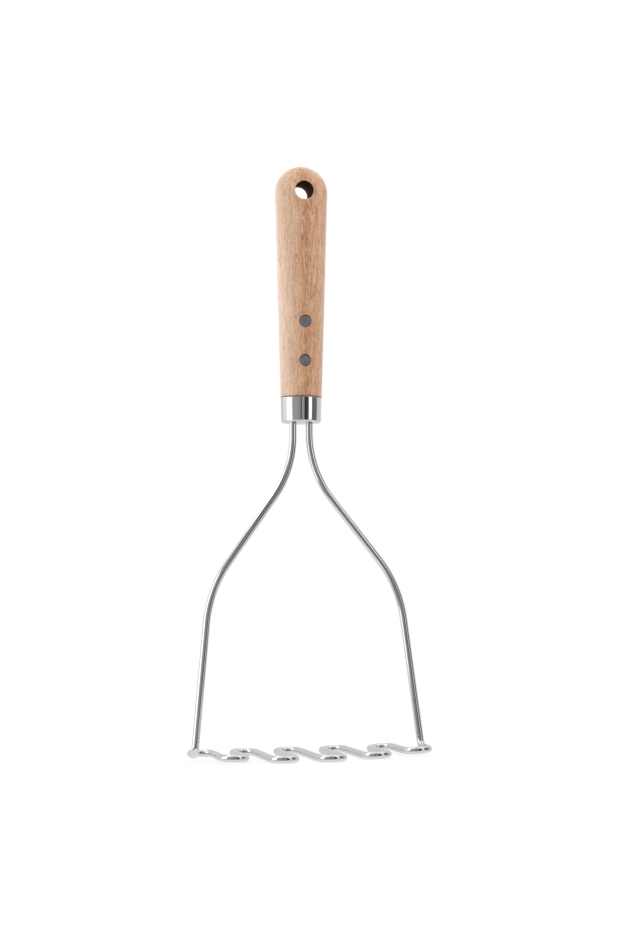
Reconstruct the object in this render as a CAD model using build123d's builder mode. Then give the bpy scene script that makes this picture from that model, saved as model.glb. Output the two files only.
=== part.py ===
from build123d import *
import os
from math import cos, hypot, radians, sin

# Potato masher: a serpentine of bent steel wire under a shaped wooden handle.
# Millimetres, +Z up. The head rests on Z = 0 and runs along X, with its loops before and behind Y = 0.

os.makedirs("parts", exist_ok=True)

# General fits
fit_clearance = 0.15
cut_overrun = 5.0

# Head: the wire runs to and fro between half-round loops, the first one at the rear left
wire_diameter = 3.7
loop_tip_shares = (0.63, 0.91, 1.0, 0.91, 0.63)
head_length = 116.0
head_depth = 67.4
head_bow = 1.7

# Arms, from the ferrule down to the head
ferrule_base_height = 168.9
neck_drop = 24.0
neck_radius = 54.0
shoulder_height = 85.4
shoulder_span = 97.6
shoulder_radius = 62.0
foot_radius = 4.5

# Tails of the wire inside the handle
tail_spacing = 8.4
hook_radius = 3.0
hook_gap = 0.6

# Handle, leaning a little to the right of the head's normal
handle_lean_angle = 1.45
handle_length = 119.0
handle_top_width = 27.0
handle_top_thickness = 19.0
handle_edge_radius = 0.4
handle_section_count = 8
handle_round_share = 0.35
hanging_hole_diameter = 9.6
hole_rim_diameter = 10.3
hole_rim_angle = 90
spigot_chamfer = 0.6

# Ferrule: a drawn cup, slightly narrower at its base
ferrule_height = 12.5
ferrule_top_diameter = 20.8
ferrule_base_diameter = 20.3
ferrule_wall = 0.8
ferrule_base_radius = 1.2
ferrule_rim_chamfer = 0.2

# Rivets, by their height above the joint of wood and ferrule
lower_rivet_height = 18.3
upper_rivet_height = 38.1
rivet_shank_diameter = 4.0
rivet_head_diameter = 5.8
rivet_head_thickness = 1.5
rivet_head_chamfer = 0.2
rivet_recess = 0.4

wire_radius = wire_diameter / 2
loop_count = 2 * len(loop_tip_shares)
loop_pitch = head_length / loop_count
lean = radians(handle_lean_angle)
half_turn = 180

# Frame of the handle: origin on its axis at the base of the ferrule, local Z up the handle
handle_frame = Plane(
    origin=(0, 0, ferrule_base_height),
    x_dir=(cos(lean), 0, -sin(lean)),
    z_dir=(sin(lean), 0, cos(lean)),
)
handle_axis = Axis(handle_frame.origin, handle_frame.z_dir)
hole_place = ferrule_height + handle_length - handle_top_width / 2
flattening_place = ferrule_height + handle_round_share * (hole_place - ferrule_height)
lower_rivet_place = ferrule_height + lower_rivet_height
upper_rivet_place = ferrule_height + upper_rivet_height


def handle_point(x, height):
    """A place on the middle plane of the handle, as a place in the masher."""
    return handle_frame.from_local_coords(Vector(x, 0, height))


def across_handle(height):
    """The plane through the handle's axis that faces the front, centred at this height."""
    return Plane(origin=handle_point(0, height), x_dir=handle_frame.x_dir, z_dir=(0, -1, 0))


def handle_half_sizes(height):
    """Half width and half thickness of the wood: round at the ferrule, flatter at the hole."""
    share = (height - ferrule_height) / (hole_place - ferrule_height)
    half_width = (ferrule_top_diameter + (handle_top_width - ferrule_top_diameter) * share) / 2
    step = max(share - handle_round_share, 0) / (1 - handle_round_share)
    ease = step * step * (3 - 2 * step)
    flatness = 1 - (1 - handle_top_thickness / handle_top_width) * ease
    return half_width, half_width * flatness


def rivet_seat(height):
    """Distance from the handle's axis to the underside of the rivet heads at this height."""
    return handle_half_sizes(height)[1] - rivet_recess - rivet_head_thickness


def station(index):
    """X and Z of a straight run of the head, counted from the left foot to the right one."""
    offset = 2 * index / loop_count - 1
    return offset * head_length / 2, wire_radius + head_bow * offset * offset


# Masher wire: one length of rod bent to arms and a serpentine, its tails hooked over the upper rivet
hook_height = upper_rivet_place + rivet_shank_diameter / 2 + fit_clearance + wire_radius
run_reaches = [head_depth * share / 2 - loop_pitch / 2 - wire_radius for share in loop_tip_shares]
arm_radii = (hook_radius, neck_radius, shoulder_radius, foot_radius)


def arm_corners(side):
    """Corners of one arm, from its hook in the handle down to the foot on the head."""
    foot_x, foot_z = station(0 if side < 0 else loop_count)
    return [
        handle_point(side * hook_gap / 2, hook_height),
        handle_point(side * tail_spacing / 2, hook_height),
        handle_point(side * tail_spacing / 2, -neck_drop),
        Vector(side * shoulder_span / 2, 0, shoulder_height),
        Vector(foot_x, 0, foot_z),
    ]


with BuildPart() as masher_wire:
    with BuildLine() as wire_path:
        # Left arm, down to its foot and back to the first loop
        first_x, first_z = station(0)
        FilletPolyline(*arm_corners(-1), Vector(first_x, run_reaches[0], first_z), radius=arm_radii)
        # Loops at the rear and at the front by turns, each joined to the next by a straight run
        for loop in range(loop_count):
            side = 1 if loop % 2 == 0 else -1
            reach = side * run_reaches[loop // 2]
            (left_x, left_z), (right_x, right_z) = station(loop), station(loop + 1)
            turn_start = Vector(left_x, reach, left_z)
            turn_end = Vector(right_x, reach, right_z)
            turn_radius = hypot(right_x - left_x, right_z - left_z) / 2
            turn_tip = (turn_start + turn_end) / 2 + Vector(0, side * turn_radius, 0)
            ThreePointArc(turn_start, turn_tip, turn_end)
            if loop < loop_count - 1:
                Line(turn_end, Vector(right_x, -side * run_reaches[(loop + 1) // 2], right_z))
        # Right arm, from the last loop to its foot and up
        FilletPolyline(turn_end, *reversed(arm_corners(1)), radius=arm_radii[::-1])
    wire_axis = wire_path.wire()
    with BuildSketch(Plane(origin=wire_axis @ 0, z_dir=wire_axis % 0)):
        Circle(wire_radius)
    sweep(path=wire_axis)

masher_wire.part.label = "masher_wire"
export_step(masher_wire.part, "parts/masher_wire.step")

# Ferrule: steel cup over the wooden spigot, its floor pierced for the two tails
cup_base_radius = ferrule_base_diameter / 2
cup_top_radius = ferrule_top_diameter / 2
cup_outline = (
    (0, 0),
    (cup_base_radius, 0),
    (cup_top_radius, ferrule_height),
    (cup_top_radius - ferrule_wall, ferrule_height),
    (cup_base_radius - ferrule_wall, ferrule_wall),
    (0, ferrule_wall),
)

with BuildPart() as ferrule:
    with BuildSketch(across_handle(0)) as cup_section:
        with BuildLine():
            Polyline(*cup_outline, close=True)
        make_face()
        base_corner = cup_section.vertices().sort_by_distance(handle_point(cup_base_radius, 0))[0]
        fillet(base_corner, ferrule_base_radius)
        rim_corner = cup_section.vertices().sort_by_distance(handle_point(cup_top_radius, ferrule_height))[0]
        chamfer(rim_corner, ferrule_rim_chamfer)
    revolve(axis=handle_axis)
    with BuildSketch(handle_frame.offset(-cut_overrun)):
        with GridLocations(tail_spacing, 0, 2, 1):
            Circle(wire_radius + fit_clearance)
    extrude(amount=ferrule_wall + 2 * cut_overrun, mode=Mode.SUBTRACT)

ferrule.part.label = "ferrule"
export_step(ferrule.part, "parts/ferrule.step")

# Wooden handle: round where it meets the ferrule, flattened towards the hanging hole, domed on top
spigot_base = ferrule_wall + fit_clearance
spigot_base_radius = cup_base_radius - ferrule_wall - fit_clearance
spigot_top_radius = cup_top_radius - ferrule_wall - fit_clearance
slot_top = hook_height + wire_radius + fit_clearance

with BuildPart() as wooden_handle:
    # Round taper that starts flush with the ferrule
    for height in (ferrule_height, flattening_place):
        with BuildSketch(handle_frame.offset(height)):
            Circle(handle_half_sizes(height)[0])
    loft(ruled=True)
    fillet(wooden_handle.edges().sort_by_distance(handle_frame.origin)[0], handle_edge_radius)
    # Flattened grip
    for section in range(handle_section_count):
        height = flattening_place + (hole_place - flattening_place) * section / (handle_section_count - 1)
        with BuildSketch(handle_frame.offset(height)):
            Ellipse(*handle_half_sizes(height))
    loft()
    # Domed top: half of the uppermost section, swung over the axis of the hanging hole
    top_half_width, top_half_thickness = top_sizes = handle_half_sizes(hole_place)
    with BuildSketch(handle_frame.offset(hole_place)):
        with BuildLine():
            EllipticalCenterArc((0, 0), *top_sizes, start_angle=-half_turn / 2, arc_size=half_turn)
            Line((0, top_half_thickness), (0, -top_half_thickness))
        make_face()
    revolve(axis=Axis(handle_point(0, hole_place), (0, -1, 0)), revolution_arc=half_turn)
    # Hanging hole, its rims broken with a countersink from the front and from the rear
    hole_plane = across_handle(hole_place)
    for face_plane in (hole_plane, -hole_plane):
        with Locations(face_plane.offset(top_half_thickness)):
            CounterSinkHole(
                radius=hanging_hole_diameter / 2,
                counter_sink_radius=hole_rim_diameter / 2,
                depth=handle_top_width,
                counter_sink_angle=hole_rim_angle,
            )
    # Spigot that fills the ferrule
    with BuildSketch(handle_frame.offset(spigot_base)):
        Circle(spigot_base_radius)
    with BuildSketch(handle_frame.offset(ferrule_height)):
        Circle(spigot_top_radius)
    loft(ruled=True)
    chamfer(wooden_handle.edges().sort_by_distance(handle_frame.origin)[0], spigot_chamfer)
    # Slot for the tails of the wire, up to just above their hooks
    with BuildSketch(handle_frame.offset(spigot_base - cut_overrun)):
        SlotCenterToCenter(tail_spacing, wire_diameter + 2 * fit_clearance)
    extrude(amount=slot_top - spigot_base + cut_overrun, mode=Mode.SUBTRACT)
    # Rivet holes, counterbored from the front and from the rear
    for place in (lower_rivet_place, upper_rivet_place):
        with BuildSketch(across_handle(place)):
            Circle(rivet_shank_diameter / 2 + fit_clearance)
        extrude(amount=handle_top_width, both=True, mode=Mode.SUBTRACT)
        for face in (1, -1):
            with BuildSketch(across_handle(place).offset(face * rivet_seat(place))):
                Circle(rivet_head_diameter / 2 + fit_clearance)
            extrude(amount=face * handle_top_width, mode=Mode.SUBTRACT)

wooden_handle.part.label = "wooden_handle"
export_step(wooden_handle.part, "parts/wooden_handle.step")

# Rivets: solid pins between the tails, headed at both ends in the counterbores
for name, place in (("lower_rivet", lower_rivet_place), ("upper_rivet", upper_rivet_place)):
    with BuildPart() as rivet:
        with BuildSketch(across_handle(place)):
            Circle(rivet_shank_diameter / 2)
        extrude(amount=rivet_seat(place), both=True)
        for face in (1, -1):
            with BuildSketch(across_handle(place).offset(face * rivet_seat(place))):
                Circle(rivet_head_diameter / 2)
            extrude(amount=face * rivet_head_thickness)
        chamfer(rivet.edges().sort_by(Axis.Y)[0], rivet_head_chamfer)
        chamfer(rivet.edges().sort_by(Axis.Y)[-1], rivet_head_chamfer)
    rivet.part.label = name
    export_step(rivet.part, f"parts/{name}.step")
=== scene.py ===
from math import acos, ceil, cos, hypot, pi, radians, sin, sqrt, tan

import bmesh
import bpy
from mathutils import Matrix, Vector


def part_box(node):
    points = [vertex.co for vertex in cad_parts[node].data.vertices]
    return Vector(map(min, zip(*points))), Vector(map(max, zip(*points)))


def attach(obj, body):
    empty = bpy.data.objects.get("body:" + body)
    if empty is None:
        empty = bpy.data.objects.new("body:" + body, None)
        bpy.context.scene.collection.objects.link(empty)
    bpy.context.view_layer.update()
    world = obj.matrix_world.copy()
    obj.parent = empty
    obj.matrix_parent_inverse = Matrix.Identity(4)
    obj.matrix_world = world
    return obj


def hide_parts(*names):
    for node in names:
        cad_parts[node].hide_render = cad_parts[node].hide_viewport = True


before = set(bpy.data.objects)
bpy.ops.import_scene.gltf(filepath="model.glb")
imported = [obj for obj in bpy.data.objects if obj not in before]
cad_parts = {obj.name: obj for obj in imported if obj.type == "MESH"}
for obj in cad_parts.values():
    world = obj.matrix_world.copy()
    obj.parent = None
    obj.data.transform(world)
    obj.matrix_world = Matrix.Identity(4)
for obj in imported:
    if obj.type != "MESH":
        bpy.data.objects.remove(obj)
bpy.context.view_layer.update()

# Masher wire
# One length of stainless steel wire, drawn round and polished bright, then bent cold: two tails that
# the handle grips, two curved arms, and a serpentine head of ten half-round loops that does the mashing.
# neck_drop and hook_height run down and up the handle's axis from the base of the ferrule.
MM = 0.001
wire_diameter = 3.7
loop_tip_shares = (0.63, 0.91, 1.0, 0.91, 0.63)
head_bow = 1.7
ferrule_base_height = 168.9
neck_drop = 24.0
neck_radius = 54.0
shoulder_height = 85.4
shoulder_span = 97.6
shoulder_radius = 62.0
foot_radius = 4.5
tail_spacing = 8.4
hook_radius = 3.0
hook_gap = 0.6
hook_height = 54.6
lean = radians(1.45)
wire_end_bevel = 0.4
wire_sides = 32
widest_bend_step = radians(6)
longest_bend_step = 2.4
sewing_distance = 0.001
sharp_edge_angle = radians(38)

wire_low, wire_high = (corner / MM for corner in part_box("masher_wire"))
wire_radius = wire_diameter / 2
least_run = wire_radius / 100
head_length = wire_high.x - wire_low.x - wire_diameter
head_depth = wire_high.y - wire_low.y
loop_count = 2 * len(loop_tip_shares)
loop_pitch = head_length / loop_count
run_reaches = [head_depth * share / 2 - loop_pitch / 2 - wire_radius for share in loop_tip_shares]


def on_handle(x, y, height):
    """A place in the handle's own frame, which starts at the ferrule's base, as a place in the masher."""
    along = height * sin(lean) + x * cos(lean)
    return Vector((along, y, ferrule_base_height + height * cos(lean) - x * sin(lean)))


def station(index):
    """X and Z of a straight run of the head, counted from the left foot to the right one."""
    offset = 2 * index / loop_count - 1
    return offset * head_length / 2, wire_radius + head_bow * offset * offset


def arm_corners(side):
    """Corners of one arm, from its hook in the handle down to the foot on the head."""
    foot_x, foot_z = station(0 if side < 0 else loop_count)
    return [
        on_handle(side * hook_gap / 2, 0, hook_height),
        on_handle(side * tail_spacing / 2, 0, hook_height),
        on_handle(side * tail_spacing / 2, 0, -neck_drop),
        Vector((side * shoulder_span / 2, 0, shoulder_height)),
        Vector((foot_x, 0, foot_z)),
    ]


def bent_line(corners, radii):
    """Points along straight runs that are joined by tangent arcs of these radii, without repeats."""
    points = [corners[0]]
    for before, corner, after, radius in zip(corners, corners[1:], corners[2:], radii):
        towards = (corner - before).normalized()
        away = (after - corner).normalized()
        turn = towards.angle(away)
        start = corner - towards * radius * tan(turn / 2)
        inward = (away - towards * towards.dot(away)).normalized()
        steps = ceil(turn / min(widest_bend_step, longest_bend_step / radius))
        for step in range(steps + 1):
            angle = turn * step / steps
            points.append(start + towards * radius * sin(angle) + inward * radius * (1 - cos(angle)))
    points.append(corners[-1])
    kept = points[:1]
    for point in points[1:]:
        if (point - kept[-1]).length > least_run:
            kept.append(point)
    return kept


def full_turn(count):
    """Angles of this many steps round a full turn, with the first one again at the end."""
    return [2 * pi * step / count for step in range(count)] + [0.0]


def wire_grid(line):
    """Rings of the wire along its line, with bevelled ends, and the wire's own coordinates for each."""
    lengths = [0.0]
    for point, following in zip(line, line[1:]):
        lengths.append(lengths[-1] + (following - point).length)
    tangents = [(b - a).normalized() for a, b in zip(line, line[1:])]
    directions = [tangents[0]]
    directions += [(a + b).normalized() for a, b in zip(tangents, tangents[1:])]
    directions += [tangents[-1]]
    turns = full_turn(wire_sides)
    across = directions[0].orthogonal().normalized()
    rings, marks = [], []
    for i, (point, direction) in enumerate(zip(line, directions)):
        if i:
            across = directions[i - 1].rotation_difference(direction) @ across
            across = (across - direction * across.dot(direction)).normalized()
        other = direction.cross(across)
        rings.append([point + (across * cos(t) + other * sin(t)) * wire_radius for t in turns])
        marks.append([(wire_radius * cos(t), wire_radius * sin(t), lengths[i]) for t in turns])
    narrowing = 1 - wire_end_bevel / wire_radius
    for end, inner in ((0, 1), (-1, -2)):
        back = (line[inner] - line[end]).normalized() * wire_end_bevel
        narrow = [line[end] + (place - line[end]) * narrowing for place in rings[end]]
        cap = [line[end]] * len(turns)
        rings[end] = [place + back for place in rings[end]]
        rings = [cap, narrow] + rings if end == 0 else rings + [narrow, cap]
        marks = [marks[0]] * 2 + marks if end == 0 else marks + [marks[-1]] * 2
    return rings, marks


def make_piece(name, grids, patterns=None):
    """A mesh from grids of places in millimetres, sewn up where their edges meet.

    patterns, where given, holds for each place the coordinates that its material follows.
    """
    shape = bmesh.new()
    pattern_layer = shape.verts.layers.float_vector.new("worked_along")
    for grid, pattern in zip(grids, patterns or grids):
        rows = []
        for places, marks in zip(grid, pattern):
            rows.append([shape.verts.new(Vector(place) * MM) for place in places])
            for vertex, mark in zip(rows[-1], marks):
                vertex[pattern_layer] = mark
        for row, upper in zip(rows, rows[1:]):
            for i in range(len(row) - 1):
                shape.faces.new((row[i], row[i + 1], upper[i + 1], upper[i]))
    bmesh.ops.remove_doubles(shape, verts=shape.verts, dist=sewing_distance * MM)
    bmesh.ops.recalc_face_normals(shape, faces=shape.faces)
    mesh = bpy.data.meshes.new(name)
    shape.to_mesh(mesh)
    shape.free()
    piece = bpy.data.objects.new(name, mesh)
    bpy.context.scene.collection.objects.link(piece)
    return piece


def dress(piece, node, material):
    """Shades a piece smooth between its sharp edges and lets it stand for its node."""
    piece.data.shade_smooth()
    piece.data.set_sharp_from_angle(angle=sharp_edge_angle)
    piece.data.materials.clear()
    piece.data.materials.append(material)
    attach(piece, "root")
    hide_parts(node)


def linear(hex_colour):
    """An sRGB hex colour as the linear colour that a shader takes."""
    channels = [int(hex_colour[i:i + 2], 16) / 255 for i in (1, 3, 5)]
    return [c / 12.92 if c <= 0.04045 else ((c + 0.055) / 1.055) ** 2.4 for c in channels] + [1.0]


def emptied(owner):
    """A new material or world, set to use nodes and cleared of those that it starts with."""
    owner.use_nodes = True
    owner.node_tree.nodes.clear()
    return owner


def add_node(owner, kind, inputs=None, stops=None, **settings):
    """Adds a node to a material or world.

    A socket goes by its name, or by its number where names repeat. It takes a value, another node's
    output, or another node, which stands for its first output. stops holds the places and colours of
    a colour ramp, from its start to its end.
    """
    tree = owner.node_tree
    node = tree.nodes.new(kind)
    for name, value in settings.items():
        setattr(node, name, value)
    for socket, value in (inputs or {}).items():
        if isinstance(value, bpy.types.Node):
            value = value.outputs[0]
        if isinstance(value, bpy.types.NodeSocket):
            tree.links.new(value, node.inputs[socket])
        else:
            node.inputs[socket].default_value = value
    if stops:
        elements = node.color_ramp.elements
        elements[0].position, elements[0].color = stops[0]
        elements[1].position, elements[1].color = stops[-1]
        for place, colour in stops[1:-1]:
            elements.new(place).color = colour
    return node


# Stainless steel, cold drawn and electropolished: nearly a mirror, which the die's fine lines and a little
# handling blur along the wire. The lines are about 0.1 mm apart, drawn at twice that to show at all.
steel_colour = "#D6D7D9"
steel_roughness = 0.07
smudged_roughness = 0.105
smudge_size = 14.0
smudge_from, smudge_full = 0.35, 0.7
die_line_width = 0.2
die_line_length = 60.0
die_line_depth = 0.001
die_line_strength = 0.25

bright_steel = emptied(bpy.data.materials.new("electropolished_steel"))
way = add_node(bright_steel, "ShaderNodeAttribute", attribute_name="worked_along").outputs["Vector"]
lines_at = add_node(
    bright_steel,
    "ShaderNodeMapping",
    {"Vector": way, "Scale": (1 / die_line_width, 1 / die_line_width, 1 / die_line_length)},
)
die_lines = add_node(bright_steel, "ShaderNodeTexNoise", {"Vector": lines_at, "Scale": 1.0, "Detail": 2.0})
smudges = add_node(
    bright_steel,
    "ShaderNodeTexNoise",
    {"Vector": way, "Scale": 1 / smudge_size, "Detail": 3.0},
)
polish = add_node(
    bright_steel,
    "ShaderNodeMapRange",
    {
        "Value": smudges,
        "From Min": smudge_from,
        "From Max": smudge_full,
        "To Min": steel_roughness,
        "To Max": smudged_roughness,
    },
)
relief = add_node(
    bright_steel,
    "ShaderNodeBump",
    {"Height": die_lines, "Distance": die_line_depth * MM, "Strength": die_line_strength},
)
steel_shader = add_node(
    bright_steel,
    "ShaderNodeBsdfPrincipled",
    {"Base Color": linear(steel_colour), "Metallic": 1.0, "Roughness": polish, "Normal": relief},
)
add_node(bright_steel, "ShaderNodeOutputMaterial", {"Surface": steel_shader})

# The wire's line, from the hook of the left tail through the head to that of the right one
wire_corners = arm_corners(-1)
bend_radii = [hook_radius, neck_radius, shoulder_radius, foot_radius]
for loop in range(loop_count):
    side = 1 if loop % 2 == 0 else -1
    (left_x, left_z), (right_x, right_z) = station(loop), station(loop + 1)
    loop_radius = hypot(right_x - left_x, right_z - left_z) / 2
    tip = side * (run_reaches[loop // 2] + loop_radius)
    wire_corners += [Vector((left_x, tip, left_z)), Vector((right_x, tip, right_z))]
    bend_radii += [loop_radius, loop_radius]
wire_corners += reversed(arm_corners(1))
bend_radii += [foot_radius, shoulder_radius, neck_radius, hook_radius]

rings, marks = wire_grid(bent_line(wire_corners, bend_radii))
bent_wire = make_piece("bent_wire", [rings], [marks])
dress(bent_wire, "masher_wire", bright_steel)

# Ferrule
# A cup deep drawn from thin stainless sheet, polished all over, with a rounded base and a trimmed rim. It
# caps the foot of the handle, and two holes punched in its floor let the wire's tails through.
ferrule_height = 12.5
ferrule_top_radius = 10.4
ferrule_base_radius = 10.15
ferrule_wall = 0.8
ferrule_corner_radius = 1.2
ferrule_rim_radius = 0.2
ferrule_wall_end = 0.06
tail_hole_radius = 2.0
cutter_foot = -1.0
punch_top = 2.0
ferrule_sides = 96
corner_steps = 8


def arc(centre, radius, start, end, steps):
    """Points in a plane on an arc, angles in degrees."""
    angles = [radians(start + (end - start) * step / steps) for step in range(steps + 1)]
    return [(centre[0] + radius * cos(a), centre[1] + radius * sin(a)) for a in angles]


def cut_away(piece, cutter):
    """Takes the cutter's volume out of a piece for good."""
    change = piece.modifiers.new("cut", "BOOLEAN")
    change.operation = "DIFFERENCE"
    change.solver = "EXACT"
    change.object = cutter
    cut = bpy.data.meshes.new_from_object(piece.evaluated_get(bpy.context.evaluated_depsgraph_get()))
    piece.modifiers.clear()
    piece.data = cut
    cut.name = piece.name
    bpy.data.objects.remove(cutter)


corner_centre = (ferrule_base_radius - ferrule_corner_radius, ferrule_corner_radius)
rim_centre = (ferrule_top_radius - ferrule_rim_radius, ferrule_height - ferrule_rim_radius)
inner_rim_centre = (ferrule_top_radius - ferrule_wall + ferrule_rim_radius, rim_centre[1])
cup_outline = [(0.0, 0.0)]
cup_outline += arc(corner_centre, ferrule_corner_radius, -90, 0, corner_steps)
# Rings close to the wall's two ends, so that its straight part mirrors as straight
cup_outline += [
    (ferrule_base_radius, ferrule_corner_radius + ferrule_wall_end),
    (ferrule_top_radius, rim_centre[1] - ferrule_wall_end),
]
cup_outline += arc(rim_centre, ferrule_rim_radius, 0, 90, corner_steps // 2)
cup_outline += arc(inner_rim_centre, ferrule_rim_radius, 90, 180, corner_steps // 2)
cup_outline += arc(corner_centre, ferrule_corner_radius - ferrule_wall, 0, -90, corner_steps // 2)
cup_outline += [(0.0, ferrule_wall)]
cup_turns = full_turn(ferrule_sides)
cup_grid = [[on_handle(r * cos(t), r * sin(t), height) for t in cup_turns] for r, height in cup_outline]
drawn_ferrule = make_piece("drawn_ferrule", [cup_grid])

punch_outline = [(0.0, cutter_foot), (tail_hole_radius, cutter_foot)]
punch_outline += [(tail_hole_radius, punch_top), (0.0, punch_top)]
punch_turns = full_turn(wire_sides)
for side in (-1, 1):
    middle = side * tail_spacing / 2
    punch_grid = []
    for radius, height in punch_outline:
        ring = [on_handle(middle + radius * cos(t), radius * sin(t), height) for t in punch_turns]
        punch_grid.append(ring)
    cut_away(drawn_ferrule, make_piece("punch", [punch_grid]))

# Stainless sheet, drawn and mirror polished. The mop leaves faint lines round the cup, 0.15 mm apart and
# drawn at twice that, which soften the reflections' edges a little, and the sheet keeps slight waves.
mirror_roughness, mopped_roughness = 0.04, 0.07
mop_from, mop_full = 0.3, 0.7
mop_line_width = 0.3
mop_line_length = 20.0
mop_line_depth = 0.002
sheet_wave_size = 6.0
sheet_wave_depth = 0.06
sheet_strength = 0.5
upright = (0.0, -lean, 0.0)

mirror_steel = emptied(bpy.data.materials.new("mirror_polished_steel"))
place = add_node(mirror_steel, "ShaderNodeTexCoord").outputs["Object"]
lines_at = add_node(
    mirror_steel,
    "ShaderNodeMapping",
    {
        "Vector": place,
        "Rotation": upright,
        "Scale": (1 / mop_line_length / MM, 1 / mop_line_length / MM, 1 / mop_line_width / MM),
    },
)
mop_lines = add_node(mirror_steel, "ShaderNodeTexNoise", {"Vector": lines_at, "Scale": 1.0, "Detail": 2.0})
waves = add_node(
    mirror_steel,
    "ShaderNodeTexNoise",
    {"Vector": place, "Scale": 1 / sheet_wave_size / MM, "Detail": 1.0},
)
polish = add_node(
    mirror_steel,
    "ShaderNodeMapRange",
    {
        "Value": mop_lines,
        "From Min": mop_from,
        "From Max": mop_full,
        "To Min": mirror_roughness,
        "To Max": mopped_roughness,
    },
)
sheet_relief = add_node(
    mirror_steel,
    "ShaderNodeBump",
    {"Height": waves, "Distance": sheet_wave_depth * MM, "Strength": sheet_strength},
)
relief = add_node(
    mirror_steel,
    "ShaderNodeBump",
    {
        "Height": mop_lines,
        "Distance": mop_line_depth * MM,
        "Strength": sheet_strength,
        "Normal": sheet_relief,
    },
)
mirror_shader = add_node(
    mirror_steel,
    "ShaderNodeBsdfPrincipled",
    {"Base Color": linear(steel_colour), "Metallic": 1.0, "Roughness": polish, "Normal": relief},
)
add_node(mirror_steel, "ShaderNodeOutputMaterial", {"Surface": mirror_shader})
dress(drawn_ferrule, "ferrule", mirror_steel)

# Wooden handle
# Beech, turned round at the ferrule, then sanded flatter towards the top and domed. A hanging hole is drilled
# through it with its rims eased, two counterbored holes take the rivets, and a slot in its spigot the tails.
handle_length = 119.0
handle_top_width = 27.0
handle_top_thickness = 19.0
handle_round_share = 0.35
handle_edge_radius = 0.4
hanging_hole_radius = 4.8
hanging_hole_ease = 0.35
rivet_heights = (18.3, 38.1)
rivet_head_radius = 2.9
rivet_shank_radius = 2.0
rivet_head_thickness = 1.5
rivet_recess = 0.4
rivet_hole_ease = 0.15
fit_clearance = 0.15
spigot_chamfer = 0.6
handle_columns = 32
rivet_window_columns = 10
rivet_window_height = 9.0
row_height = 1.5
window_rings = 5
hole_window_drop = 15.0
hole_rings = 8
ease_steps = 5

hole_place = ferrule_height + handle_length - handle_top_width / 2
rivet_places = [ferrule_height + height for height in rivet_heights]
rivet_bore = rivet_head_radius + fit_clearance


def handle_half_sizes(height):
    """Half width and half thickness of the wood: round at the ferrule, flatter at the hole."""
    share = (height - ferrule_height) / (hole_place - ferrule_height)
    half_width = ferrule_top_radius + (handle_top_width / 2 - ferrule_top_radius) * share
    step = min(max(share - handle_round_share, 0) / (1 - handle_round_share), 1)
    flatness = 1 - (1 - handle_top_thickness / handle_top_width) * step * step * (3 - 2 * step)
    return half_width, half_width * flatness


def rivet_seat(height):
    """Distance from the handle's axis to the underside of the rivet heads at this height."""
    return handle_half_sizes(height)[1] - rivet_recess - rivet_head_thickness


def skin(face, angle, height):
    """A place on the grip's surface: angle runs from the right edge to the left, face is -1 in front."""
    half_width, half_thickness = handle_half_sizes(height)
    return half_width * cos(angle), face * half_thickness * sin(angle), height


def skin_depth(x, height):
    """Distance from the middle plane to the wood's surface at a place seen from the front."""
    half_width, half_thickness = handle_half_sizes(min(height, hole_place))
    reach = hypot(x, height - hole_place) if height > hole_place else x
    return half_thickness * sqrt(max(1 - (reach / half_width) ** 2, 0))


def eased_rim(face, centre, radius, ease, turns, inner=()):
    """Rings that round a hole's rim over into its wall, then follow the inner radii and depths."""
    rings = []
    for step in range(ease_steps + 1):
        tilt = pi / 2 * step / ease_steps
        reach = radius + ease * (1 - sin(tilt))
        ring = []
        for turn in turns:
            x, height = reach * cos(turn), centre + reach * sin(turn)
            ring.append((x, face * (skin_depth(x, height) - ease * (1 - cos(tilt))), height))
        rings.append(ring)
    for reach, depth in inner:
        rings.append([(reach * cos(t), face * depth, centre + reach * sin(t)) for t in turns])
    return rings


def window_outline(columns, rows):
    """Angles and heights round a window in the grip's grid, and the turn on the hole's rim for each."""
    left, right = columns[-1], columns[0]
    sides = [
        [(right, height) for height in rows],
        [(angle, rows[-1]) for angle in columns],
        [(left, height) for height in reversed(rows)],
        [(angle, rows[0]) for angle in reversed(columns)],
    ]
    outline, turns = [], []
    for quarter, places in enumerate(sides):
        for i, place_on_side in enumerate(places[:-1]):
            outline.append(place_on_side)
            turns.append(pi / 2 * (quarter + i / (len(places) - 1)) - pi / 4)
    return outline + outline[:1], turns + [turns[0] + 2 * pi]


def spread(face, centre, radius, outline, turns, rings):
    """Rings of the grip's surface between a hole's rim and the outline of its window."""
    grid = []
    for ring in range(rings + 1):
        share = ring / rings
        row = []
        for (angle, height), turn in zip(outline, turns):
            rim_x, rim_height = radius * cos(turn), centre + radius * sin(turn)
            rim_angle = acos(rim_x / handle_half_sizes(rim_height)[0])
            ring_angle = rim_angle + (angle - rim_angle) * share
            row.append(skin(face, ring_angle, rim_height + (height - rim_height) * share))
        grid.append(row)
    return grid


def evenly(start, end, step):
    """Values from start to end, no further apart than step."""
    rounding = 1e-6
    count = ceil((end - start) / step - rounding)
    return [start + (end - start) * i / count for i in range(count + 1)]


columns = [pi * column / handle_columns for column in range(handle_columns + 1)]
first_window_column = (handle_columns - rivet_window_columns) // 2
last_window_column = first_window_column + rivet_window_columns
beside_windows = (columns[:first_window_column + 1], columns[last_window_column:])
window_bottom = hole_place - hole_window_drop
breaks = [ferrule_height + handle_edge_radius]
for place_up in rivet_places:
    breaks += [place_up - rivet_window_height / 2, place_up + rivet_window_height / 2]
breaks += [window_bottom]

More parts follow.
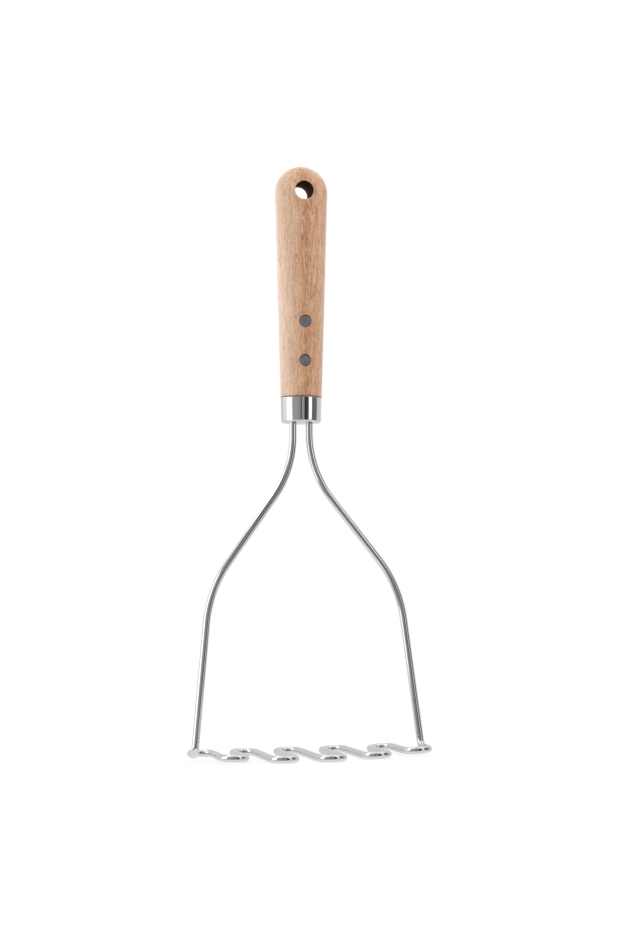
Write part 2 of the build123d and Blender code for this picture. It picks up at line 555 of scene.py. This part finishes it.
handle_grids = []
tube_rings = {}
for face in (-1, 1):
    # Grip below the hanging hole, with a window left open for each rivet
    for number, (bottom, top) in enumerate(zip(breaks, breaks[1:])):
        rows = evenly(bottom, top, row_height)
        at_rivet = number % 2 == 1
        for part in beside_windows if at_rivet else [columns]:
            handle_grids.append([[skin(face, angle, height) for angle in part] for height in rows])
        if at_rivet:
            place_up = (bottom + top) / 2
            seat = rivet_seat(place_up)
            outline, turns = window_outline(columns[first_window_column:last_window_column + 1], rows)
            inner = [(rivet_bore, seat), (rivet_shank_radius + fit_clearance, seat)]
            eased_bore = rivet_bore + rivet_hole_ease
            handle_grids.append(spread(face, place_up, eased_bore, outline, turns, window_rings))
            handle_grids.append(eased_rim(face, place_up, rivet_bore, rivet_hole_ease, turns, inner))
            tube_rings.setdefault(place_up, []).append(handle_grids[-1][-1])
    # Around the lower half of the hanging hole
    side_rows = evenly(window_bottom, hole_place, row_height)
    side_shares = [i / (len(side_rows) - 1) for i in range(len(side_rows))]
    outline = [(columns[-1], height) for height in reversed(side_rows)]
    outline += [(angle, window_bottom) for angle in reversed(columns[1:-1])]
    outline += [(columns[0], height) for height in side_rows]
    corner_turn = pi / 4
    lower_turns = [pi + corner_turn * share for share in side_shares[:-1]]
    lower_turns += [pi + corner_turn + pi / 2 * i / handle_columns for i in range(handle_columns)]
    lower_turns += [2 * pi - corner_turn + corner_turn * share for share in side_shares]
    eased_radius = hanging_hole_radius + hanging_hole_ease
    handle_grids.append(spread(face, hole_place, eased_radius, outline, lower_turns, hole_rings))
    # Domed top: the uppermost section swung over the axis of the hole
    half_width, half_thickness = handle_half_sizes(hole_place)
    rim_angle = acos(eased_radius / half_width)
    upper_turns = [pi * i / handle_columns for i in range(handle_columns + 1)]
    dome = []
    for ring in range(hole_rings + 1):
        tilt = rim_angle * (1 - ring / hole_rings)
        reach, depth = half_width * cos(tilt), face * half_thickness * sin(tilt)
        dome.append([(reach * cos(turn), depth, hole_place + reach * sin(turn)) for turn in upper_turns])
    handle_grids.append(dome)
    # Eased rim of the hanging hole
    all_turns = upper_turns + lower_turns[1:]
    handle_grids.append(eased_rim(face, hole_place, hanging_hole_radius, hanging_hole_ease, all_turns))
    tube_rings.setdefault(hole_place, []).append(handle_grids[-1][-1])
# Walls of the three holes, from face to face
handle_grids += tube_rings.values()

# Foot of the grip, rounded over to the joint, and the spigot
edge_centre = (ferrule_top_radius - handle_edge_radius, ferrule_height + handle_edge_radius)
foot_outline = arc(edge_centre, handle_edge_radius, 0, -90, ease_steps)
foot_outline[0] = (handle_half_sizes(foot_outline[0][1])[0], foot_outline[0][1])
spigot_base = ferrule_wall + fit_clearance
spigot_top_radius = ferrule_top_radius - ferrule_wall - fit_clearance
spigot_base_radius = ferrule_base_radius - ferrule_wall - fit_clearance
foot_outline += [(spigot_top_radius, ferrule_height), (spigot_base_radius, spigot_base + spigot_chamfer)]
foot_outline += [(spigot_base_radius - spigot_chamfer, spigot_base), (0.0, spigot_base)]
foot_turns = columns + [2 * pi - angle for angle in reversed(columns[:-1])]
handle_grids.append([[(r * cos(t), -r * sin(t), height) for t in foot_turns] for r, height in foot_outline])
grip_grids = [[[on_handle(*place) for place in row] for row in grid] for grid in handle_grids]
beech_handle = make_piece("beech_handle", grip_grids)

# Slot for the tails, up to just above their hooks
slot_top = hook_height + wire_radius + fit_clearance
slot_half_width = wire_radius + fit_clearance
slot_outline = arc((tail_spacing / 2, 0.0), slot_half_width, -90, 90, corner_steps)
slot_outline += arc((-tail_spacing / 2, 0.0), slot_half_width, 90, 270, corner_steps)
slot_outline.append(slot_outline[0])
slot_middle = [(0.0, 0.0)] * len(slot_outline)
slot_rings = (
    (slot_middle, cutter_foot),
    (slot_outline, cutter_foot),
    (slot_outline, slot_top),
    (slot_middle, slot_top),
)
slot_grid = [[on_handle(x, y, height) for x, y in ring] for ring, height in slot_rings]
cut_away(beech_handle, make_piece("slot_cutter", [slot_grid]))

# Beech, sanded and oiled: pale pinkish brown. Its growth rings run up the grip as soft bands, with fine
# fibres between them, and the rays' dark flecks, up to 0.5 mm by 4 mm and a little coarser than real, crowd
# in the browner bands. A ring shade is a distance across the grip and how brown the wood is there.
# Painted highlight: the paler, greyer colour of the grip's left side, for the light falling there
left_haze_colour = "#E0BFA2"
beech_pale = "#E1B48C"
beech_brown = "#B07646"
beech_pink = "#D8A587"
fleck_colour = "#7E4922"
# Painted shade: the dark brown of the groove where the grip meets the ferrule
joint_shade_colour = "#4A3629"
ring_shades = (
    (-14.0, 0.35), (-10.0, 0.25), (-7.5, 0.35), (-5.0, 0.6), (-2.5, 0.85), (0.5, 0.6),
    (3.0, 0.42), (5.0, 0.35), (6.5, 0.25), (8.5, 0.6), (10.5, 0.35), (14.0, 0.3),
)
ring_slant = 0.3
ring_wander = 3.0
wander_width = 9.0
wander_length = 40.0
# Where across the grip the painted highlight of the left side begins and is full, and how much it pales and
# calms the wood
left_haze_from, left_haze_full, left_haze_share = 0.37, 0.1, 0.9
left_haze_calm = 0.6
ring_part, fibre_part, pore_part = 0.55, 0.7, 0.55
brown_bias = 0.25
fibre_width = 0.9
fibre_length = 9.0
pore_width = 0.6
pore_length = 1.6
streak_from, streak_full = 0.32, 0.68
patch_width = 6.0
patch_length = 30.0
pink_from, pink_full, pink_share = 0.4, 0.65, 0.8
fleck_width = 0.7
fleck_length = 4.6
spindle_core, spindle_edge = 0.2, 0.42
ring_crowding = 0.6
fleck_from, fleck_full, fleck_share = 0.95, 1.25, 0.9
# Height and strength of the painted shade along the joint with the ferrule
joint_line = 0.4
joint_shade_share = 0.9
sanded_roughness, fibre_roughness = 0.36, 0.46
grain_depth = 0.03
grain_strength = 0.6
fleck_dip = 0.8
oil_gloss = 0.7
dust_sheen = 0.4
sheen_roughness = 0.5

oiled_beech = emptied(bpy.data.materials.new("oiled_beech"))
place = add_node(oiled_beech, "ShaderNodeTexCoord").outputs["Object"]
in_mm = add_node(
    oiled_beech,
    "ShaderNodeMapping",
    {
        "Vector": place,
        "Scale": (1 / MM, 1 / MM, 1 / MM),
        "Rotation": upright,
        "Location": (ferrule_base_height * sin(lean), 0.0, -ferrule_base_height * cos(lean)),
    },
)

# Growth rings: soft bands across the grip that wander a little on their way up
wander_at = add_node(
    oiled_beech,
    "ShaderNodeMapping",
    {"Vector": in_mm, "Scale": (1 / wander_width, 1 / wander_width, 1 / wander_length)},
)
wander = add_node(oiled_beech, "ShaderNodeTexNoise", {"Vector": wander_at, "Scale": 1.0, "Detail": 2.0})
across = add_node(
    oiled_beech,
    "ShaderNodeVectorMath",
    {0: in_mm, 1: (1.0, ring_slant, 0.0)},
    operation="DOT_PRODUCT",
)
bent_across = add_node(
    oiled_beech,
    "ShaderNodeMath",
    {0: wander, 1: ring_wander, 2: across.outputs["Value"]},
    operation="MULTIPLY_ADD",
)
ring_low, ring_high = ring_shades[0][0], ring_shades[-1][0]
ring_place = add_node(
    oiled_beech,
    "ShaderNodeMapRange",
    {
        "Value": bent_across,
        "From Min": ring_low + ring_wander / 2,
        "From Max": ring_high + ring_wander / 2,
        "To Min": 0.0,
        "To Max": 1.0,
    },
)
rings_across = add_node(
    oiled_beech,
    "ShaderNodeValToRGB",
    {"Fac": ring_place},
    stops=[((x - ring_low) / (ring_high - ring_low), [shade] * 3 + [1.0]) for x, shade in ring_shades],
)

# Fibres and pores: fine streaks along the grip, and short ones between them
streaks = []
for width, length in ((fibre_width, fibre_length), (pore_width, pore_length)):
    stretched = add_node(
        oiled_beech,
        "ShaderNodeMapping",
        {"Vector": in_mm, "Scale": (1 / width, 1 / width, 1 / length)},
    )
    noise = add_node(oiled_beech, "ShaderNodeTexNoise", {"Vector": stretched, "Scale": 1.0, "Detail": 2.0})
    streak = add_node(
        oiled_beech,
        "ShaderNodeMapRange",
        {"Value": noise, "From Min": streak_from, "From Max": streak_full},
    )
    streaks.append(streak)
fibres, pores = streaks
darkness = add_node(
    oiled_beech,
    "ShaderNodeMath",
    {0: rings_across, 1: ring_part, 2: brown_bias - (fibre_part + pore_part) / 2},
    operation="MULTIPLY_ADD",
)
for streak, part in ((fibres, fibre_part), (pores, pore_part)):
    darkness = add_node(
        oiled_beech,
        "ShaderNodeMath",
        {0: streak, 1: part, 2: darkness},
        operation="MULTIPLY_ADD",
    )

# Pink patches in the pale wood, and a calmer, paler band at the left: a painted highlight for the light
# falling on that side
patches_at = add_node(
    oiled_beech,
    "ShaderNodeMapping",
    {"Vector": in_mm, "Scale": (1 / patch_width, 1 / patch_width, 1 / patch_length)},
)
patches = add_node(oiled_beech, "ShaderNodeTexNoise", {"Vector": patches_at, "Scale": 1.0, "Detail": 2.0})
pink_amount = add_node(
    oiled_beech,
    "ShaderNodeMapRange",
    {
        "Value": patches,
        "From Min": pink_from,
        "From Max": pink_full,
        "To Min": 0.0,
        "To Max": pink_share,
    },
)
pale_wood = add_node(
    oiled_beech,
    "ShaderNodeMix",
    {0: pink_amount, 6: linear(beech_pale), 7: linear(beech_pink)},
    data_type="RGBA",
)
painted_left_haze = add_node(
    oiled_beech,
    "ShaderNodeMapRange",
    {
        "Value": ring_place,
        "From Min": left_haze_from,
        "From Max": left_haze_full,
        "To Min": 0.0,
        "To Max": left_haze_share,
    },
)
pale_or_hazed = add_node(
    oiled_beech,
    "ShaderNodeMix",
    {0: painted_left_haze, 6: pale_wood.outputs[2], 7: linear(left_haze_colour)},
    data_type="RGBA",
)
haze_calm = add_node(
    oiled_beech,
    "ShaderNodeMapRange",
    {"Value": painted_left_haze, "To Min": 1.0, "To Max": left_haze_calm},
)
brown_amount = add_node(
    oiled_beech,
    "ShaderNodeMath",
    {0: darkness, 1: haze_calm},
    operation="MULTIPLY",
    use_clamp=True,
)
streaked = add_node(
    oiled_beech,
    "ShaderNodeMix",
    {0: brown_amount, 6: pale_or_hazed.outputs[2], 7: linear(beech_brown)},
    data_type="RGBA",
)

# Ray flecks: one spindle in some of the cells of a stretched cell pattern, most of them in the brown bands
flecks_at = add_node(
    oiled_beech,
    "ShaderNodeMapping",
    {"Vector": in_mm, "Scale": (1 / fleck_width, 1 / fleck_width, 1 / fleck_length)},
)
cells = add_node(oiled_beech, "ShaderNodeTexVoronoi", {"Vector": flecks_at, "Scale": 1.0})
spindle = add_node(
    oiled_beech,
    "ShaderNodeMapRange",
    {
        "Value": cells.outputs["Distance"],
        "From Min": spindle_core,
        "From Max": spindle_edge,
        "To Min": 1.0,
        "To Max": 0.0,
    },
)
cell_number = add_node(oiled_beech, "ShaderNodeSeparateColor", {0: cells.outputs["Color"]})
crowded = add_node(
    oiled_beech,
    "ShaderNodeMath",
    {0: rings_across, 1: ring_crowding, 2: cell_number},
    operation="MULTIPLY_ADD",
)
chosen = add_node(
    oiled_beech,
    "ShaderNodeMapRange",
    {
        "Value": crowded,
        "From Min": fleck_from,
        "From Max": fleck_full,
        "To Min": 0.0,
        "To Max": fleck_share,
    },
)
fleck_amount = add_node(oiled_beech, "ShaderNodeMath", {0: spindle, 1: chosen}, operation="MULTIPLY")
flecked = add_node(
    oiled_beech,
    "ShaderNodeMix",
    {0: fleck_amount, 6: streaked.outputs[2], 7: linear(fleck_colour)},
    data_type="RGBA",
)

# The foot of the grip, darkened along the joint with the ferrule: painted shade of the groove there
parts = add_node(oiled_beech, "ShaderNodeSeparateXYZ", {"Vector": in_mm})
painted_joint_shade = add_node(
    oiled_beech,
    "ShaderNodeMapRange",
    {
        "Value": parts.outputs["Z"],
        "From Min": ferrule_height + joint_line,
        "From Max": ferrule_height + joint_line * 2,
        "To Min": joint_shade_share,
        "To Max": 0.0,
    },
)
finished = add_node(
    oiled_beech,
    "ShaderNodeMix",
    {0: painted_joint_shade, 6: flecked.outputs[2], 7: linear(joint_shade_colour)},
    data_type="RGBA",
)
dull = add_node(
    oiled_beech,
    "ShaderNodeMapRange",
    {
        "Value": fibres,
        "From Min": 0.0,
        "From Max": 1.0,
        "To Min": sanded_roughness,
        "To Max": fibre_roughness,
    },
)
grain_height = add_node(
    oiled_beech,
    "ShaderNodeMath",
    {0: fleck_amount, 1: -fleck_dip, 2: fibres},
    operation="MULTIPLY_ADD",
)
relief = add_node(
    oiled_beech,
    "ShaderNodeBump",
    {"Height": grain_height, "Distance": grain_depth * MM, "Strength": grain_strength},
)
beech_shader = add_node(
    oiled_beech,
    "ShaderNodeBsdfPrincipled",
    {
        "Base Color": finished.outputs[2],
        "Roughness": dull,
        "Normal": relief,
        "Specular IOR Level": oil_gloss,
        "Sheen Weight": dust_sheen,
        "Sheen Roughness": sheen_roughness,
    },
)
add_node(oiled_beech, "ShaderNodeOutputMaterial", {"Surface": beech_shader})
dress(beech_handle, "wooden_handle", oiled_beech)

# Walls of the drilled holes, dark brown: painted shade inside them over the darker end grain, left dull, with
# the drill's turns 0.4 mm apart
bore_shade_dark = "#2E180C"
bore_shade_light = "#643C22"
dark_from, light_full = 0.35, 0.7
drill_marks_per_mm = (1.0, 2.5, 0.3)
drill_mark_depth = 0.05
drill_mark_strength = 0.5
drilled_from, drilled_full = 0.3, 0.7
drilled_roughness, dullest_roughness = 0.8, 0.95
bore_gloss = 0.05

bore_shade_beech = emptied(bpy.data.materials.new("bore_shade_beech"))
place = add_node(bore_shade_beech, "ShaderNodeTexCoord").outputs["Object"]
turns_at = add_node(
    bore_shade_beech,
    "ShaderNodeMapping",
    {"Vector": place, "Scale": [count / MM for count in drill_marks_per_mm]},
)
drill_marks = add_node(
    bore_shade_beech,
    "ShaderNodeTexNoise",
    {"Vector": turns_at, "Scale": 1.0, "Detail": 2.0},
)
bore_shade = add_node(
    bore_shade_beech,
    "ShaderNodeValToRGB",
    {"Fac": drill_marks},
    stops=[(dark_from, linear(bore_shade_dark)), (light_full, linear(bore_shade_light))],
)
dull = add_node(
    bore_shade_beech,
    "ShaderNodeMapRange",
    {
        "Value": drill_marks,
        "From Min": drilled_from,
        "From Max": drilled_full,
        "To Min": drilled_roughness,
        "To Max": dullest_roughness,
    },
)
relief = add_node(
    bore_shade_beech,
    "ShaderNodeBump",
    {"Height": drill_marks, "Distance": drill_mark_depth * MM, "Strength": drill_mark_strength},
)
bore_shade_shader = add_node(
    bore_shade_beech,
    "ShaderNodeBsdfPrincipled",
    {"Base Color": bore_shade, "Roughness": dull, "Normal": relief, "Specular IOR Level": bore_gloss},
)
add_node(bore_shade_beech, "ShaderNodeOutputMaterial", {"Surface": bore_shade_shader})
# The painted shade goes on all faces inside the hanging hole and the rivets' counterbores
beech_handle.data.materials.append(bore_shade_beech)
drilled = [(hole_place, hanging_hole_radius)]
drilled += [(place_up, rivet_bore) for place_up in rivet_places]
for polygon in beech_handle.data.polygons:
    for place_up, radius in drilled:
        from_axis = polygon.center / MM - on_handle(0, 0, place_up)
        if hypot(from_axis.x, from_axis.z) < radius:
            polygon.material_index = 1

# Rivets
# Two solid steel rivets, set from front to rear between the wire's tails and sunk a little below the wood.
# Their flat heads keep the fine marks of the facing tool, a matt blue grey beside the bright wire.
rivet_edge_radius = 0.45
rivet_sides = 48
faced_dark = "#979BA4"
faced_light = "#BEC1C7"
faced_from, faced_full = 0.35, 0.65
facing_mark_size = (0.25, 10.0, 4.0)
facing_mark_angle = radians(35)
facing_mark_depth = 0.01
facing_mark_strength = 0.6
facing_from, facing_full = 0.3, 0.7
faced_roughness, torn_roughness = 0.3, 0.42

faced_steel = emptied(bpy.data.materials.new("faced_steel"))
place = add_node(faced_steel, "ShaderNodeTexCoord").outputs["Object"]
marks_at = add_node(
    faced_steel,
    "ShaderNodeMapping",
    {
        "Vector": place,
        "Rotation": (0.0, facing_mark_angle, 0.0),
        "Scale": [1 / size / MM for size in facing_mark_size],
    },
)
tool_marks = add_node(faced_steel, "ShaderNodeTexNoise", {"Vector": marks_at, "Scale": 1.0, "Detail": 3.0})
dull = add_node(
    faced_steel,
    "ShaderNodeMapRange",
    {
        "Value": tool_marks,
        "From Min": facing_from,
        "From Max": facing_full,
        "To Min": faced_roughness,
        "To Max": torn_roughness,
    },
)
relief = add_node(
    faced_steel,
    "ShaderNodeBump",
    {"Height": tool_marks, "Distance": facing_mark_depth * MM, "Strength": facing_mark_strength},
)
faced = add_node(
    faced_steel,
    "ShaderNodeValToRGB",
    {"Fac": tool_marks},
    stops=[(faced_from, linear(faced_dark)), (faced_full, linear(faced_light))],
)
faced_shader = add_node(
    faced_steel,
    "ShaderNodeBsdfPrincipled",
    {"Base Color": faced, "Metallic": 1.0, "Roughness": dull, "Normal": relief},
)
add_node(faced_steel, "ShaderNodeOutputMaterial", {"Surface": faced_shader})

rivet_turns = full_turn(rivet_sides)
for name, place_up in zip(("lower_rivet", "upper_rivet"), rivet_places):
    seat = rivet_seat(place_up)
    top = seat + rivet_head_thickness
    edge_centre = (rivet_head_radius - rivet_edge_radius, top - rivet_edge_radius)
    half_outline = [(rivet_shank_radius, seat), (rivet_head_radius, seat)]
    half_outline += arc(edge_centre, rivet_edge_radius, 0, 90, ease_steps)
    half_outline += [(0.0, top)]
    pin_grid = []
    for radius, depth in [(r, -depth) for r, depth in reversed(half_outline)] + half_outline:
        ring = [on_handle(radius * cos(t), depth, place_up + radius * sin(t)) for t in rivet_turns]
        pin_grid.append(ring)
    dress(make_piece(name + "_pin", [pin_grid]), name, faced_steel)

# Floor
# A round table top of white card under the masher, whose front edge is near. Seen directly it is white, but
# for a little of the soft shadow of the wire. Polished steel mirrors the tent's own white card in its place.
floor_radius = 230.0
floor_middle = Vector((-75.0, 155.0, 0.0))
floor_sides = 96
card_colour = "#F4F3F1"
white = "#FFFFFF"
shadow_reach = 70.0
shadow_end = 120.0
shadow_whiteness = 0.85

floor_turns = full_turn(floor_sides)
floor_grid = []
for reach in (0.0, floor_radius / 2, floor_radius):
    floor_grid.append([floor_middle + Vector((reach * cos(t), reach * sin(t), 0.0)) for t in floor_turns])
floor = make_piece("floor", [floor_grid])
white_card = emptied(bpy.data.materials.new("white_card"))
card = add_node(white_card, "ShaderNodeBsdfDiffuse", {"Color": linear(card_colour)})
glow = add_node(white_card, "ShaderNodeEmission", {"Color": linear(white), "Strength": 1.0})
rays = add_node(white_card, "ShaderNodeLightPath").outputs
seen = rays["Is Camera Ray"]
for kind in ("Is Glossy Ray", "Is Transmission Ray"):
    seen = add_node(white_card, "ShaderNodeMath", {0: seen, 1: rays[kind]}, operation="MAXIMUM")
place = add_node(white_card, "ShaderNodeTexCoord").outputs["Object"]
floor_reach = add_node(white_card, "ShaderNodeVectorMath", {0: place}, operation="LENGTH")
edge = add_node(
    white_card,
    "ShaderNodeMapRange",
    {
        "Value": floor_reach.outputs["Value"],
        "From Min": shadow_reach * MM,
        "From Max": shadow_end * MM,
        "To Min": shadow_whiteness,
        "To Max": 1.0,
    },
)
white_share = add_node(white_card, "ShaderNodeMath", {0: seen, 1: edge}, operation="MULTIPLY")
mixed = add_node(white_card, "ShaderNodeMixShader", {0: white_share, 1: card, 2: glow})
add_node(white_card, "ShaderNodeOutputMaterial", {"Surface": mixed})
floor.data.materials.append(white_card)
floor.visible_glossy = False

# Light tent
# A round wall of cards about the masher, which only the polished surfaces see: white behind and beneath, a
# soft box on each side, and between them the dark room behind the camera. A card is an angle in degrees to
# the right of the camera and a brightness, and the cards change with the height.
camera_azimuth = 11.5
soft_box = 1.8
tent_radius = 330.0
tent_top = 420.0
tent_bottom = -115.0
tent_sides = 180
cards_ahead = [
    (-98, 0.9), (-92, 0.95), (-86, soft_box), (-53, soft_box), (-49, 0.42), (-22, 0.41), (-14, 0.35),
    (-4, 0.33), (-2, 0.3), (0, 0.08), (4, 0.08), (6, 0.42), (17, 0.4), (21, 0.04), (32, 0.05), (43, 0.12),
]
cards_right = [(66, 0.12), (80, 0.19), (90, 0.2), (97, 0.12), (102, 0.75), (120, 0.8), (150, 0.85)]
cards_by_height = {
    "beneath": [(-180, 0.98), (180, 0.98)],
    "below the head": [
        (-180, 0.72), (-150, 0.75), (-110, 0.95), (-90, 0.85), (-75, 0.6), (-60, 0.42), (-45, 0.34),
        (-25, 0.27), (-5, 0.21), (10, 0.14), (20, 0.16), (32, 0.36), (45, 0.58), (60, 0.68), (80, 0.74),
        (100, 0.74), (120, 0.82), (150, 0.84), (180, 0.72),
    ],
    "beside the arms": [
        (-180, 0.72), (-150, 0.75), (-125, 0.9), (-108, 1.05), *cards_ahead,
        (48, 0.9), (60, 0.9), *cards_right, (170, 0.82), (180, 0.72),
    ],
    "beside the ferrule": [
        (-180, 0.9), (-158, 0.88), (-146, 0.82), (-136, 0.7), (-125, 0.85), (-108, 1.18), *cards_ahead,
        (48, soft_box), (60, soft_box), *cards_right, (180, 0.9),
    ],
    "above the ferrule": [
        (-180, 0.75), (-140, 0.78), (-115, 0.92), (-98, 1.25), (-68, 1.15), (-58, 0.3), (-45, 0.06),
        (-30, 0.05), (0, 0.2), (30, 0.2), (60, 0.5), (90, 0.7), (120, 0.95), (180, 0.8),
    ],
    "overhead": [(-180, 1.25), (-60, 1.25), (-35, 0.95), (10, 0.6), (30, 0.6), (60, 1.2), (180, 1.25)],
}
# Heights over which each band of cards gives way to the next one up
card_changes = (
    (tent_bottom + 1.0, tent_bottom + 5.0),
    (-35.0, -15.0),
    (160.0, 175.0),
    (275.0, 300.0),
    (tent_top - 10.0, tent_top - 1.0),
)

tent_turns = full_turn(tent_sides)
tent_outline = [(0.0, tent_top), (tent_radius, tent_top), (tent_radius, tent_bottom), (0.0, tent_bottom)]
tent_grid = [[(reach * cos(t), reach * sin(t), height) for t in tent_turns] for reach, height in tent_outline]
tent = make_piece("light_tent", [tent_grid])
tent_cards = emptied(bpy.data.materials.new("tent_cards"))
place = add_node(tent_cards, "ShaderNodeTexCoord").outputs["Object"]
turned = add_node(
    tent_cards,
    "ShaderNodeMapping",
    {"Vector": place, "Rotation": (0.0, 0.0, radians(camera_azimuth))},
)
parts = add_node(tent_cards, "ShaderNodeSeparateXYZ", {"Vector": turned})
forwards = add_node(tent_cards, "ShaderNodeMath", {0: parts.outputs["Y"], 1: -1.0}, operation="MULTIPLY")
azimuth = add_node(
    tent_cards,
    "ShaderNodeMath",
    {0: parts.outputs["X"], 1: forwards},
    operation="ARCTAN2",
)
around = add_node(
    tent_cards,
    "ShaderNodeMapRange",
    {"Value": azimuth, "From Min": -pi, "From Max": pi, "To Min": 0.0, "To Max": 1.0},
)
levels = []
for cards in cards_by_height.values():
    stops = [((angle + 180) / 360, [level / soft_box] * 3 + [1.0]) for angle, level in cards]
    levels.append(add_node(tent_cards, "ShaderNodeValToRGB", {"Fac": around}, stops=stops))
shown = levels[0]
for (start, end), level in zip(card_changes, levels[1:]):
    share = add_node(
        tent_cards,
        "ShaderNodeMapRange",
        {
            "Value": parts.outputs["Z"],
            "From Min": start * MM,
            "From Max": end * MM,
            "To Min": 0.0,
            "To Max": 1.0,
        },
    )
    blend = add_node(tent_cards, "ShaderNodeMix", {0: share, 6: shown, 7: level}, data_type="RGBA")
    shown = blend.outputs[2]
tent_glow = add_node(tent_cards, "ShaderNodeEmission", {"Color": shown, "Strength": soft_box})
add_node(tent_cards, "ShaderNodeOutputMaterial", {"Surface": tent_glow})
tent.data.materials.append(tent_cards)

# A card close to the grip, at its left and a little behind, too near for the tent's cards to stand in for
side_card_level = 2.2
side_card_radius = 120.0
side_card_span = (-150.0, -72.0)
side_card_heights = (201.0, 335.0)
side_card_step = 3.0

card_grid = []
for height in side_card_heights:
    bearings = [radians(angle - camera_azimuth) for angle in evenly(*side_card_span, side_card_step)]
    card_grid.append([(sin(b) * side_card_radius, -cos(b) * side_card_radius, height) for b in bearings])
side_card = make_piece("side_card", [card_grid])
card_front = emptied(bpy.data.materials.new("side_card"))
card_glow = add_node(card_front, "ShaderNodeEmission", {"Color": linear(white), "Strength": side_card_level})
add_node(card_front, "ShaderNodeOutputMaterial", {"Surface": card_glow})
side_card.data.materials.append(card_front)
for screen in (tent, side_card):
    screen.visible_camera = False
    screen.visible_diffuse = False
    screen.visible_shadow = False
    screen.visible_transmission = False

# Studio
# Plain white surroundings, dimmer below the table. Their even light is what the wood and the floor are seen
# by, while the tent stands before them for everything polished.
above_level = 1.3
below_level = 0.6
table_line = 0.1

studio = emptied(bpy.data.worlds.new("studio"))
bpy.context.scene.world = studio
direction = add_node(studio, "ShaderNodeTexCoord").outputs["Generated"]
parts = add_node(studio, "ShaderNodeSeparateXYZ", {"Vector": direction})
room = add_node(
    studio,
    "ShaderNodeMapRange",
    {
        "Value": parts.outputs["Z"],
        "From Min": -table_line,
        "From Max": table_line,
        "To Min": below_level,
        "To Max": above_level,
    },
)
rays = add_node(studio, "ShaderNodeLightPath").outputs
seen = add_node(studio, "ShaderNodeMix", {0: rays["Is Camera Ray"], 2: room, 3: 1.0}, data_type="FLOAT")
backdrop = add_node(studio, "ShaderNodeBackground", {"Color": linear(white), "Strength": seen})
add_node(studio, "ShaderNodeOutputWorld", {"Surface": backdrop})

# Camera
# Low in front and a little to the left, looking slightly up and tipped by a degree and a half.
camera_distance = 1003.65
camera_elevation = radians(-3.88)
camera_roll = radians(-1.43)
aim = Vector((1.94, -10.42, 146.74))
image_height = 930
focal_pixels = 2000.0

lens = bpy.data.cameras.new("camera")
camera = bpy.data.objects.new("camera", lens)
bpy.context.scene.collection.objects.link(camera)
lens.lens = focal_pixels / image_height * lens.sensor_width
turning = Matrix.Rotation(-radians(camera_azimuth), 4, "Z")
tilting = Matrix.Rotation(pi / 2 - camera_elevation, 4, "X")
rolling = Matrix.Rotation(camera_roll, 4, "Z")
looking = turning @ tilting @ rolling
away = looking.to_3x3() @ Vector((0, 0, 1))
camera.matrix_world = Matrix.Translation((aim + away * camera_distance) * MM) @ looking
bpy.context.scene.camera = camera
bpy.context.scene.view_settings.view_transform = "Standard"
